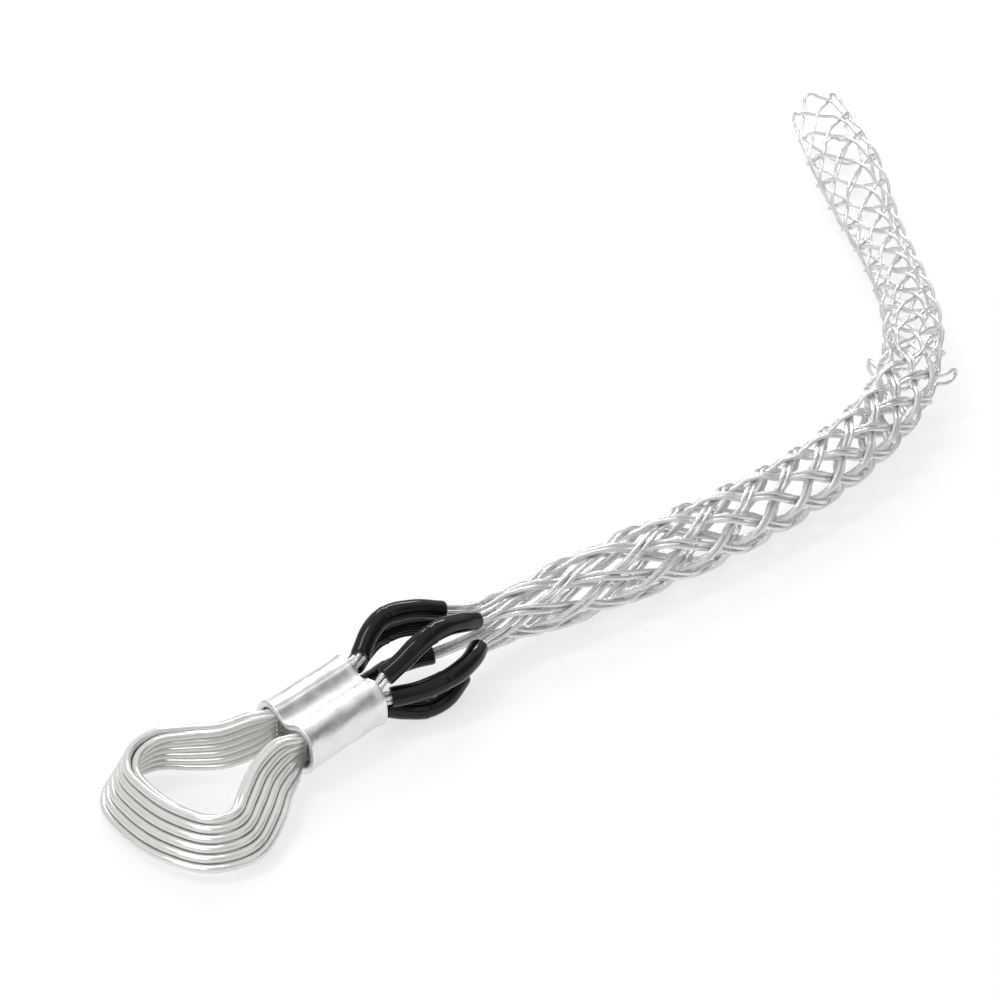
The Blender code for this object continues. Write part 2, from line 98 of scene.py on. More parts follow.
EYE_COURSE = [(-12.0, 2.4, 14.9, 0, 2.9), (-21.6, -0.4, 12.8, 2, 3.0), (-33.2, -0.5, 12.0, 8, 3.1),
              (-44.9, -1.2, 11.6, 18, 3.15), (-53.2, -8.6, 11.0, 28, 3.15),
              (-54.0, -20.2, 10.4, 36, 3.15), (-44.4, -33.3, 9.9, 41, 3.15),
              (-31.4, -43.3, 9.7, 42, 3.15), (-17.9, -47.8, 9.8, 38, 3.15),
              (-8.0, -44.0, 10.3, 42, 3.15), (-4.4, -33.0, 11.2, 50, 3.1),
              (-2.4, -20.5, 12.6, 42, 3.0), (1.6, -10.5, 14.0, 20, 2.9)]
EYE_LAYER_PITCH = 3.45
COAT_OUTER_R = 1.5
COAT_END_R = 1.2
COAT_INNER_R = 1.12
COAT_STEP = 1.2
COAT_SIDES = 16
COAT_INSIDE = 7.0           # left out of the course at its far end, so the tube ends inside the mouth
COAT_TAPER = 9.0            # steps over which a tube narrows towards its ends
PRESS_LINES = [(104, 0.30), (-98, 0.28), (-107, 0.30)]
RIGHT_SLEEVES = (0, 1, 5)
TOP_GROUP = (1, 2)
BOTTOM_GROUP = (4, 5)


def table(rows, x):
    """Cubic through the rows at x, which may be an array."""
    x = np.asarray(x, float)
    xs = np.array([r[0] for r in rows], float)
    ys = np.array([r[1] for r in rows], float)
    m = np.zeros(len(xs))
    m[1:-1] = (ys[2:] - ys[:-2]) / (xs[2:] - xs[:-2])
    i = np.clip(np.searchsorted(xs, x, side="left"), 1, len(xs) - 1)
    span = xs[i] - xs[i - 1]
    t = np.clip((x - xs[i - 1]) / span, 0, 1)
    m0, m1 = m[i - 1] * span, m[i] * span
    t2, t3 = t * t, t ** 3
    return ((2 * t3 - 3 * t2 + 1) * ys[i - 1] + (t3 - 2 * t2 + t) * m0
            + (3 * t2 - 2 * t3) * ys[i] + (t3 - t2) * m1)


_stations = np.arange(-2, 872, 1.0)
_turns = np.radians(table(HEADINGS, _stations + 0.5))
_xy = np.stack([np.concatenate([[0], np.cumsum(np.cos(_turns))[:-1]]),
                np.concatenate([[0], np.cumsum(np.sin(_turns))[:-1]])], 1)
_xy -= _xy[2]


def frames(s):
    """Points, forward, right and up of the axis at stations s, in millimetres."""
    s = np.atleast_1d(np.asarray(s, float))
    x = np.interp(s, _stations, _xy[:, 0])
    y = np.interp(s, _stations, _xy[:, 1])
    z = table(HEIGHTS, s)
    heading = np.radians(table(HEADINGS, s))
    climb = table(HEIGHTS, s + 0.5) - table(HEIGHTS, s - 0.5)
    forward = np.stack([np.cos(heading), np.sin(heading), climb], 1)
    forward /= np.linalg.norm(forward, axis=1)[:, None]
    right = np.stack([np.sin(heading), -np.cos(heading), 0 * heading], 1)
    up = np.cross(right, forward)
    roll = np.radians(table(ROLLS, s))[:, None]
    return (np.stack([x, y, z], 1) + SHIFT, forward, right * np.cos(roll) - up * np.sin(roll),
            up * np.cos(roll) + right * np.sin(roll))


def on_axis(s, side, rise):
    p, _, right, up = frames(s)
    return p + right * np.reshape(side, (-1, 1)) + up * np.reshape(rise, (-1, 1))


def round_axis(s, angle, radius):
    angle = np.reshape(angle, (-1, 1))
    p, _, right, up = frames(s)
    return p + (right * np.cos(angle) + up * np.sin(angle)) * np.reshape(radius, (-1, 1))


def row_list():
    rows = [SOCK_START]
    scale = (DOUBLE_END - SOCK_START) / sum(DOUBLE_PITCH)
    for pitch in DOUBLE_PITCH:
        rows.append(rows[-1] + pitch * scale)
    scale = (SINGLE_END - DOUBLE_END) / sum(SINGLE_PITCH)
    for pitch in SINGLE_PITCH:
        rows.append(rows[-1] + pitch * scale)
    return np.array(rows)


ROWS = row_list()
LAST_ROW = DOUBLE_ROWS + SINGLE_ROWS
_row_numbers = np.arange(LAST_ROW + 1, dtype=float)


def row_at(s):
    s = np.asarray(s, float)
    k = np.clip(np.searchsorted(ROWS, s, side="right") - 1, 0, LAST_ROW - 1)
    return k + (s - ROWS[k]) / (ROWS[k + 1] - ROWS[k])


def smooth_rows(s):
    """Row number at s through a smooth curve, so the strands have no kink at a change of pitch."""
    base = row_at(s)
    blur = 0
    for shift in (-9, -6, -3, 0, 3, 6, 9):
        blur = blur + np.interp(np.asarray(s, float) + shift, ROWS, _row_numbers)
    blur = blur / 7
    edge = np.clip(np.minimum(base, LAST_ROW - base) / 1.5, 0, 1)
    return base * (1 - edge) + blur * edge


def twist(row):
    return math.radians(SOCK_TWIST) * np.clip(np.asarray(row) / DOUBLE_ROWS, 0, 1)


def sock_radius(row):
    return table(SOCK_RADII, row)


def strand_angle(hand, index, row):
    return math.radians(60 * index) + hand * math.pi * np.asarray(row) / 6 + twist(row)


def catmull(points, step):
    """Dense points on a smooth curve through the given ones."""
    points = np.asarray(points, float)
    ends = np.vstack([2 * points[0] - points[1], points, 2 * points[-1] - points[-2]])
    out = []
    for i in range(1, len(ends) - 2):
        p0, p1, p2, p3 = ends[i - 1:i + 3]
        d1 = max(np.linalg.norm(p1 - p0), 1e-6) ** 0.5
        d2 = max(np.linalg.norm(p2 - p1), 1e-6) ** 0.5
        d3 = max(np.linalg.norm(p3 - p2), 1e-6) ** 0.5
        m1 = (p2 - p1) + d2 * ((p1 - p0) / d1 - (p2 - p0) / (d1 + d2))
        m2 = (p2 - p1) + d2 * ((p3 - p2) / d3 - (p3 - p1) / (d2 + d3))
        n = max(int(np.linalg.norm(p2 - p1) / step), 1)
        t = np.linspace(0, 1, n, endpoint=False)[:, None]
        out.append((2 * t ** 3 - 3 * t ** 2 + 1) * p1 + (t ** 3 - 2 * t ** 2 + t) * m1
                   + (-2 * t ** 3 + 3 * t ** 2) * p2 + (t ** 3 - t ** 2) * m2)
    out.append(points[-1:])
    return np.vstack(out)


def resample(points, step):
    seg = np.linalg.norm(np.diff(points, axis=0), axis=1)
    points = points[np.concatenate([[True], seg > 1e-5])]
    seg = np.linalg.norm(np.diff(points, axis=0), axis=1)
    length = np.concatenate([[0], np.cumsum(seg)])
    count = max(int(length[-1] / step), 2)
    s = np.linspace(0, length[-1], count + 1)
    return np.stack([np.interp(s, length, points[:, k]) for k in range(3)], 1)


def soften(points, passes):
    points = points.copy()
    for _ in range(passes):
        points[1:-1] = 0.25 * points[:-2] + 0.5 * points[1:-1] + 0.25 * points[2:]
    return points


def weave_wave(phase, sharp):
    return np.tanh(sharp * np.cos(math.pi * phase)) / math.tanh(sharp)


def leg_course(hand, index, sign, stop_row):
    """Dense points of one rope of a strand from row 0 to the row where its loop begins."""
    s = np.arange(SOCK_START, np.interp(stop_row, _row_numbers, ROWS), 1.0)
    row = smooth_rows(s)
    radius = sock_radius(row)
    pitch = 1.0 / np.maximum(np.gradient(row, s), 1e-4)
    slope = np.arctan2(math.pi * radius / 6, pitch)
    single = np.clip((row - (DOUBLE_ROWS - 0.8)) / 1.4, 0, 1)
    single = single * single * (3 - 2 * single)
    offset = sign * PAIR_OFFSET * (1 - single)
    shift = -hand * offset / (2 * np.sin(slope))
    phase = smooth_rows(s - shift)
    phase = np.where(s - shift < SOCK_START, 0.0, phase)
    sharp_pair = weave_wave(phase, PAIR_SHARP)
    soft_single = weave_wave(phase, SINGLE_SHARP)
    wave = hand * (sharp_pair * (1 - single) + soft_single * single)
    angle = strand_angle(hand, index, row) + offset / (np.cos(slope) * radius)
    return round_axis(s, angle, radius + wave * WAVE)


def loop_course(course, row, hand, index, lift, vary):
    points = []
    middle = float(strand_angle(hand, index, row))
    for step in course:
        back, half = step[0], step[1]
        rise = step[2] * vary if lift else 0.0
        s = ROWS[row] - back
        radius = float(sock_radius(min(float(row_at(s)), LAST_ROW)))
        points.append(round_axis(s, middle - hand * half / radius, radius + rise)[0])
    return points


def sleeve_angle(group, spread):
    if group in (0, 3):
        return math.radians(60 * group)
    base = 0 if group in RIGHT_SLEEVES else 180
    return math.radians(base + {1: 1, 5: -1, 2: -1, 4: 1}[group] * spread)


def sleeve_middle(group, beyond):
    points, outs = [], []
    end = SLEEVE_ENDS[group]
    stations = [s for s in SLEEVE_STATIONS if s < end - 3] + [end]
    if beyond and SLEEVE_STATIONS[-1] > end + 3:
        stations.append(SLEEVE_STATIONS[-1])
    for s in stations:
        radius = float(table(list(zip(SLEEVE_STATIONS, SLEEVE_RADII[group])), s))
        spread = float(table(list(zip(SLEEVE_STATIONS, SLEEVE_SPREAD[group])), s))
        a = sleeve_angle(group, spread)
        p, _, right, up = frames(s)
        out = right[0] * math.cos(a) + up[0] * math.sin(a)
        points.append(p[0] + out * radius)
        outs.append(out)
    return np.array(points), np.array(outs)


def bundle(group, hand, sign):
    points, outs = sleeve_middle(group, True)
    places = []
    for i in range(len(points)):
        ahead = points[min(i + 1, len(points) - 1)] - points[max(i - 1, 0)]
        ahead /= np.linalg.norm(ahead)
        out = outs[i] - ahead * outs[i].dot(ahead)
        out /= np.linalg.norm(out)
        around = np.cross(out, ahead)
        places.append(points[i] + (out * hand + around * sign) * BUNDLE_OFFSET)
    return places


def slot_of(group, hand, sign):
    outward = math.radians(60 * group)
    x = hand * math.cos(outward) - sign * math.sin(outward)
    y = hand * math.sin(outward) + sign * math.cos(outward)
    corner = round((math.degrees(math.atan2(y, x)) - 45) / 90) * 90 + 45
    column = 1 if math.cos(math.radians(corner)) > 0 else -1
    low = 0 if math.sin(math.radians(corner)) > 0 else 1
    base = 0 if group in TOP_GROUP else 4 if group in BOTTOM_GROUP else 2
    return base + low, column


def slot_place(side, row, column):
    return side * LOBE_SPACING / 2 + column * SLOT_PITCH / 2, ((SLOT_ROWS - 1) / 2 - row) * SLOT_PITCH


def side_of(group):
    return 1 if group in RIGHT_SLEEVES else -1


def leg_start(group, hand, sign, inner):
    row, column = slot_of(group, hand, sign)
    side, rise = slot_place(side_of(group), row, column)
    stations = (inner, FERRULE_LENGTH - RUN_IN, FERRULE_LENGTH - MOUTH_BEND)
    points = [on_axis(s, side, rise)[0] for s in stations]
    return points + bundle(group, hand, sign)


def eye_frames():
    course = np.array([(x, y, z) for x, y, z, _, _ in EYE_COURSE]) + SHIFT
    result = []
    for i in range(len(course)):
        ahead = course[min(i + 1, len(course) - 1)] - course[max(i - 1, 0)]
        ahead[2] = 0
        ahead /= np.linalg.norm(ahead)
        out = np.array([ahead[1], -ahead[0], 0.0])
        lean = math.radians(EYE_COURSE[i][3])
        up = np.array([0.0, 0.0, 1.0])
        result.append((course[i], out * math.cos(lean) + up * math.sin(lean),
                       up * math.cos(lean) - out * math.sin(lean)))
    return result


def eye_strand(row, layer):
    points = []
    for (p, out, up), step in zip(eye_frames(), EYE_COURSE):
        rise = ((SLOT_ROWS - 1) / 2 - row) * step[4]
        points.append(p + up * rise + out * layer * EYE_LAYER_PITCH / 2)
    return points


def coat_course(row, layer):
    """Dense points of one clear tube, from just inside the right lobe to just inside the left one."""
    side, rise = slot_place(1, row, layer)
    course = [on_axis(s, side, rise)[0] for s in (RUN_IN, MOUTH_BEND)]
    course += list(reversed(eye_strand(row, layer)))
    side, rise = slot_place(-1, row, -layer)
    course += [on_axis(s, side, rise)[0] for s in (MOUTH_BEND, RUN_IN)]
    dense = resample(catmull(course, 1.0), COAT_STEP)
    return soften(dense, 2)[5:-int(COAT_INSIDE / COAT_STEP)]


def rope_course(group, hand, sign):
    """Dense points of one whole rope: eye, ferrule, leg, strand, loop, strand back, leg, ferrule."""
    short = sign == hand
    row, column = slot_of(group, hand, sign)
    layer = -column
    middle = FERRULE_LENGTH / 2
    side, rise = slot_place(1, row, layer)
    first = [on_axis(s, side, rise)[0] for s in (middle - CUT_HALF, RUN_IN, MOUTH_BEND)]
    first += list(reversed(eye_strand(row, layer)))
    side, rise = slot_place(-1, row, column)
    first += [on_axis(s, side, rise)[0] for s in (MOUTH_BEND, RUN_IN)]
    first += leg_start(group, hand, sign, middle)
    last = DOUBLE_ROWS if short else LAST_ROW
    partner = (group + hand * last) % 6
    stop = last - (HAIRPIN_STOP if short else TAIL_STOP)
    out_leg = leg_course(hand, group, sign, stop)
    back_leg = leg_course(-hand, partner, -sign, stop)
    vary = 1.0 + 0.12 * math.sin(2.3 * group + hand)
    course = HAIRPIN if short else TAIL_LOOP
    loop = loop_course(course, last, hand, group, short, vary)
    back = loop_course(course, last, -hand, partner, short, vary)
    turn = [out_leg[-6], out_leg[-1]] + loop + back[-2::-1] + [back_leg[-1], back_leg[-6]]
    turn = catmull(turn, 0.6)
    home = leg_start(partner, -hand, -sign, middle + CUT_HALF)
    head = catmull(first + [out_leg[3], out_leg[6]], 1.0)
    tail = catmull(list(home) + [back_leg[3], back_leg[6]], 1.0)[::-1]
    whole = np.vstack([head, out_leg[7:-7], turn, back_leg[7:-7][::-1], tail])
    return soften(resample(whole, ROPE_STEP), 2)


def transport(points):
    """Tangents and a side direction that turns as little as it can along the points."""
    tangent = np.gradient(points, axis=0)
    tangent /= np.linalg.norm(tangent, axis=1)[:, None]
    side = np.zeros_like(points)
    first = np.cross(tangent[0], [0.0, 0.0, 1.0])
    if np.linalg.norm(first) < 1e-3:
        first = np.cross(tangent[0], [0.0, 1.0, 0.0])
    side[0] = first / np.linalg.norm(first)
    for i in range(1, len(points)):
        v = side[i - 1] - tangent[i] * side[i - 1].dot(tangent[i])
        side[i] = v / np.linalg.norm(v)
    return tangent, side, np.cross(tangent, side)


def make_mesh(name, verts, faces, mat, uvs=None):
    mesh = bpy.data.meshes.new(name)
    faces = np.asarray(faces, np.int32)
    mesh.vertices.add(len(verts))
    mesh.vertices.foreach_set("co", (np.asarray(verts) * MM).astype(np.float32).ravel())
    mesh.loops.add(faces.size)
    mesh.loops.foreach_set("vertex_index", faces.ravel())
    mesh.polygons.add(len(faces))
    mesh.polygons.foreach_set("loop_start", np.arange(0, faces.size, faces.shape[1], dtype=np.int32))
    mesh.polygons.foreach_set("loop_total", np.full(len(faces), faces.shape[1], np.int32))
    if uvs is not None:
        layer = mesh.uv_layers.new(name="along")
        layer.data.foreach_set("uv", np.asarray(uvs, np.float32).ravel())
    mesh.materials.append(mat)
    mesh.validate()
    mesh.update()
    mesh.shade_smooth()
    obj = bpy.data.objects.new(name, mesh)
    bpy.context.scene.collection.objects.link(obj)
    return obj


def tube_faces(rings, sides):
    """Four-sided faces between rings that follow each other along a tube."""
    i = np.arange(rings - 1)[:, None]
    k = np.arange(sides)[None, :]
    n = (k + 1) % sides
    a, b = i * sides + k, i * sides + n
    c, d = (i + 1) * sides + n, (i + 1) * sides + k
    return np.stack([a, b, c, d], -1).reshape(-1, 4)


def tube_uvs(length, sides):
    """Per corner: distance along, and part of a turn around."""
    rings = len(length)
    i = np.arange(rings - 1)[:, None] * np.ones(sides, int)[None, :]
    k = np.ones(rings - 1, int)[:, None] * np.arange(sides)[None, :]
    u = np.stack([length[i], length[i], length[i + 1], length[i + 1]], -1)
    v = np.stack([k / sides, (k + 1) / sides, (k + 1) / sides, k / sides], -1)
    return np.stack([u, v], -1).reshape(-1, 2)


STRANDS = 6
ROPE_SIDES = 3 * STRANDS
LAY = 13.0
PROFILE = ROPE_R * 1.02 * np.tile([0.90, 0.99, 0.99], STRANDS)


def rope_mesh(name, points, mat, start_turn):
    """Stranded rope: a six-lobed section that turns once in each lay."""
    _, side, other = transport(points)
    step = np.linalg.norm(np.diff(points, axis=0), axis=1)
    length = np.concatenate([[0], np.cumsum(step)])
    turn = 2 * math.pi * length / LAY + start_turn
    k = np.arange(ROPE_SIDES)
    angle = turn[:, None] + 2 * math.pi * k[None, :] / ROPE_SIDES
    radius = PROFILE[None, :, None]
    ring = points[:, None, :] + radius * (side[:, None, :] * np.cos(angle)[..., None]
                                          + other[:, None, :] * np.sin(angle)[..., None])
    faces = tube_faces(len(points), ROPE_SIDES)
    return make_mesh(name, ring.reshape(-1, 3), faces, mat, tube_uvs(length / LAY, ROPE_SIDES))


def pipe_mesh(name, points, outer, inner, sides, mat):
    """Hollow tube; outer has a row for each point, with one radius or one for each side."""
    _, side, other = transport(points)
    step = np.linalg.norm(np.diff(points, axis=0), axis=1)
    length = np.concatenate([[0], np.cumsum(step)])
    k = 2 * math.pi * np.arange(sides) / sides
    around = side[:, None, :] * np.cos(k)[None, :, None] + other[:, None, :] * np.sin(k)[None, :, None]
    out = points[:, None, :] + around * outer[..., None]
    inn = points[:, None, :] + around * inner
    rings = np.concatenate([out, inn[::-1], out[:1]], 0)
    faces = tube_faces(len(rings), sides)
    span = np.concatenate([length, length[::-1], length[:1]])
    uvs = tube_uvs(span, sides)
    count = (len(rings) - 1) * sides
    faces = np.where(faces >= count, faces - count, faces)
    return make_mesh(name, rings[:-1].reshape(-1, 3), faces, mat, uvs)


# ---------------------------------------------------------------- materials
def new_material(name):
    mat = bpy.data.materials.new(name)
    mat.use_nodes = True
    nodes = mat.node_tree.nodes
    return mat, nodes, mat.node_tree.links, nodes["Principled BSDF"]


def noise_node(nodes, links, scale, detail, seed=None):
    """Noise over the object's own space; a seed gives each piece its own pattern."""
    coord = nodes.new("ShaderNodeTexCoord")
    noise = nodes.new("ShaderNodeTexNoise")
    noise.inputs["Scale"].default_value = scale
    noise.inputs["Detail"].default_value = detail
    if seed is not None:
        noise.noise_dimensions = "4D"
        noise.inputs["W"].default_value = seed
    links.new(coord.outputs["Object"], noise.inputs["Vector"])
    return noise.outputs["Fac"]


def ramp(nodes, stops):
    node = nodes.new("ShaderNodeValToRGB")
    cr = node.color_ramp
    while len(cr.elements) > 1:
        cr.elements.remove(cr.elements[-1])
    cr.elements[0].position = stops[0][0]
    cr.elements[0].color = (*stops[0][1], 1)
    for pos, col in stops[1:]:
        e = cr.elements.new(pos)
        e.color = (*col, 1)
    return node


def math_node(nodes, links, op, a, b=None):
    node = nodes.new("ShaderNodeMath")
    node.operation = op
    for socket, value in zip(node.inputs, (a, b)):
        if value is None:
            continue
        if isinstance(value, (int, float)):
            socket.default_value = value
        else:
            links.new(value, socket)
    return node.outputs[0]


def tone_from(nodes, links, value, stops, socket):
    """The value through a ramp of greys or colours into the socket."""
    node = ramp(nodes, [(at, tone if isinstance(tone, tuple) else (tone,) * 3) for at, tone in stops])
    links.new(value, node.inputs[0])
    links.new(node.outputs["Color"], socket)


def bump_from(nodes, links, value, strength, distance, shader):
    bump = nodes.new("ShaderNodeBump")
    bump.inputs["Strength"].default_value = strength
    bump.inputs["Distance"].default_value = distance
    links.new(value, bump.inputs["Height"])
    links.new(bump.outputs["Normal"], shader.inputs["Normal"])


ROPE_TINT = (0.95, 0.95, 0.94)
WIRES = 18.0
WIRE_DRIFT = 14.0


def rope_material(name, seed):
    mat, nodes, links, shader = new_material(name)
    uv = nodes.new("ShaderNodeUVMap")
    uv.uv_map = "along"
    split = nodes.new("ShaderNodeSeparateXYZ")
    links.new(uv.outputs["UV"], split.inputs[0])
    # wires of each strand run nearly along the rope, against the strand's own turn
    run = math_node(nodes, links, "MULTIPLY", split.outputs["X"], WIRE_DRIFT)
    around = math_node(nodes, links, "MULTIPLY", split.outputs["Y"], WIRES)
    phase = math_node(nodes, links, "ADD", run, around)
    turns = math_node(nodes, links, "MULTIPLY", phase, 2 * math.pi)
    wires = math_node(nodes, links, "SINE", turns)
    # painted shade in the grooves between the six strands
    valley_shade = math_node(nodes, links, "MULTIPLY", split.outputs["Y"], float(STRANDS))
    valley_shade = math_node(nodes, links, "FRACT", valley_shade)
    valley_shade = math_node(nodes, links, "SUBTRACT", valley_shade, 0.5)
    valley_shade = math_node(nodes, links, "ABSOLUTE", valley_shade)
    mix = nodes.new("ShaderNodeMix")
    mix.data_type = "RGBA"
    mix.blend_type = "MULTIPLY"
    mix.inputs[0].default_value = 1.0
    first, second = mix.inputs[6], mix.inputs[7]
    noise = noise_node(nodes, links, 60.0, 3.0, seed)
    dull = tuple(c * 0.88 for c in ROPE_TINT)
    bright = tuple(min(c * 1.08, 1) for c in ROPE_TINT)
    tone_from(nodes, links, noise, [(0.3, dull), (0.7, bright)], first)
    # this ramp paints shade into the colour: full on the strands, down to 0.34 in each groove
    tone_from(nodes, links, valley_shade, [(0.0, 1.0), (0.36, 0.97), (0.47, (0.58, 0.58, 0.57)),
                                     (0.5, (0.34, 0.34, 0.33))], second)
    links.new(mix.outputs[2], shader.inputs["Base Color"])
    tone_from(nodes, links, noise, [(0.35, 0.18), (0.65, 0.28)], shader.inputs["Roughness"])
    shader.inputs["Metallic"].default_value = 0.85
    bump_from(nodes, links, wires, 0.4, 0.00006, shader)
    return mat


def coat_material(name, seed):
    """Clear plastic with the silvery gleam that the rope inside gives it."""
    mat, nodes, links, shader = new_material(name)
    shader.inputs["Base Color"].default_value = (0.985, 0.99, 0.965, 1)
    shader.inputs["Transmission Weight"].default_value = 0.5
    shader.inputs["Metallic"].default_value = 0.3
    shader.inputs["IOR"].default_value = 1.45
    noise = noise_node(nodes, links, 140.0, 2.0, seed)
    tone_from(nodes, links, noise, [(0.35, 0.04), (0.7, 0.10)], shader.inputs["Roughness"])
    bump_from(nodes, links, noise, 0.25, 0.0002, shader)
    return mat


def sleeve_material(name, seed):
    mat, nodes, links, shader = new_material(name)
    noise = noise_node(nodes, links, 120.0, 4.0, seed)
    shader.inputs["Specular IOR Level"].default_value = 0.3
    tone_from(nodes, links, noise, [(0.35, (0.004, 0.004, 0.0045)), (0.7, (0.009, 0.009, 0.010))],
              shader.inputs["Base Color"])
    tone_from(nodes, links, noise, [(0.35, 0.10), (0.7, 0.15)], shader.inputs["Roughness"])
    bump_from(nodes, links, noise, 0.2, 0.0003, shader)
    return mat


def ferrule_material():
    mat, nodes, links, shader = new_material("pressed_aluminium")
    blotch = noise_node(nodes, links, 180.0, 5.0)
    # scratches run along the ferrule
    uv = nodes.new("ShaderNodeUVMap")
    uv.uv_map = "along"
    scratch_map = nodes.new("ShaderNodeMapping")
    scratch_map.inputs["Scale"].default_value = (0.05, 9.0, 1.0)
    links.new(uv.outputs["UV"], scratch_map.inputs["Vector"])
    scratch = nodes.new("ShaderNodeTexNoise")
    scratch.inputs["Scale"].default_value = 9.0
    scratch.inputs["Detail"].default_value = 4.0
    links.new(scratch_map.outputs[0], scratch.inputs["Vector"])
    tone_from(nodes, links, blotch, [(0.35, (0.78, 0.78, 0.785)), (0.65, 0.90)],
              shader.inputs["Base Color"])
    tone_from(nodes, links, blotch, [(0.3, 0.30), (0.7, 0.44)], shader.inputs["Roughness"])
    shader.inputs["Metallic"].default_value = 1.0
    height = math_node(nodes, links, "ADD", blotch, scratch.outputs["Fac"])
    bump_from(nodes, links, height, 0.25, 0.0003, shader)
    return mat


# ---------------------------------------------------------------- pieces
def place(obj, material_slot, *nodes):
    """The piece stays with the part and stands for the CAD nodes, which it hides; material_slot is not
    used.
    """
    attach(obj, "root")
    if nodes:
        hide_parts(*nodes)


def build_ropes():
    number = {"long": 0, "short": 0}
    for group in (2, 3, 4):
        for hand in (1, -1):
            for sign in (1, -1):
                kind = "short" if sign == hand else "long"
                number[kind] += 1
                node = "wire_rope_%s_%d" % (kind, number[kind])
                name = "stranded_" + node
                seed = group * 4 + hand * 2 + sign
                mat = rope_material(name, float(seed))
                obj = rope_mesh(name, rope_course(group, hand, sign), mat, seed * 1.3)
                place(obj, "rope_steel", node, node.replace("wire_rope", "eye_rope"))


def build_coats():
    for row in range(6):
        for layer, word in ((1, "outer"), (-1, "inner")):
            node = "eye_tube_%s_%d" % (word, row + 1)
            points = coat_course(row, layer)
            count = len(points)
            t = np.arange(count)
            near = np.clip(np.minimum(t, count - 1 - t) / COAT_TAPER, 0, 1)
            outer = COAT_END_R + (COAT_OUTER_R - COAT_END_R) * near * near * (3 - 2 * near)
            outer[0] -= 0.1
            outer[-1] -= 0.1
            outer[-2] += 0.04
            mat = coat_material("clear_" + node, float(row + 7 * layer))
            obj = pipe_mesh("clear_" + node, points, outer[:, None], COAT_INNER_R, COAT_SIDES, mat)
            place(obj, "eye_tube_clear", node)


def build_sleeves():
    for group in range(6):
        points, _ = sleeve_middle(group, False)
        dense = soften(resample(catmull(points, SLEEVE_STEP), SLEEVE_STEP), 2)
        count = len(dense)
        t = np.linspace(0, 1, count)
        outer = np.full(count, SLEEVE_OUTER_R)
        # a crease near the middle, slow unevenness, and lips at both ends
        crease = 0.45 + 0.02 * math.sin(group * 2.1)
        outer += 0.16 * np.exp(-((t - crease) / 0.012) ** 2)
        outer -= 0.08 * np.exp(-((t - crease - 0.03) / 0.015) ** 2)
        outer += 0.05 * np.sin(t * 23 + group)
        for end in (0.0, 1.0):
            outer += 0.12 * np.exp(-np.abs(t - end) / 0.02)
        outer[0] -= 0.3
        outer[-1] -= 0.3
        outer[1] -= 0.08
        outer[-2] -= 0.08
        k = 2 * math.pi * np.arange(SLEEVE_SIDES) / SLEEVE_SIDES
        wave = 0.04 * np.cos(2 * k[None, :] + 6 * t[:, None] + group)
        outer = outer[:, None] + wave
        node = "leg_sleeve_%d" % (group + 1)
        mat = sleeve_material("glossy_" + node, float(group))
        obj = pipe_mesh("glossy_" + node, dense, outer, SLEEVE_INNER_R, SLEEVE_SIDES, mat)
        place(obj, "sleeve_plastic", node)


OUTLINE_STEPS = 40
LOBE_SWEEP = 232
PRESS_WIDTH = 2.2
CORE_DEPTH = 5.0


def ferrule_outline(grow):
    """Two rounded lobes side by side, a soft groove between them and pressing lines beside it."""
    half_w, half_h = LOBE_WIDTH / 2 + grow, LOBE_HEIGHT / 2 + grow
    outline = []
    for lobe in (1, -1):
        for k in range(OUTLINE_STEPS + 1):
            degrees = LOBE_SWEEP * (k / OUTLINE_STEPS - 0.5)
            a = math.radians(degrees)
            x = math.cos(a) * half_w
            y = math.copysign(abs(math.sin(a)) ** 0.92, math.sin(a)) * half_h
            mark = 0.0
            for at, depth in PRESS_LINES:
                mark += depth * math.exp(-((lobe * degrees - at) / PRESS_WIDTH) ** 2)
            outline.append((lobe * (LOBE_SPACING / 2 + x), lobe * (y - lobe * mark)))
        outline.append((0.0, lobe * (half_h - GROOVE_DEPTH)))
    return np.array(outline)


def across(s, outline):
    """Points of an outline set across the axis at station s."""
    p, _, right, up = frames(s)
    return p[0] + outline[:, :1] * right[0] + outline[:, 1:] * up[0]


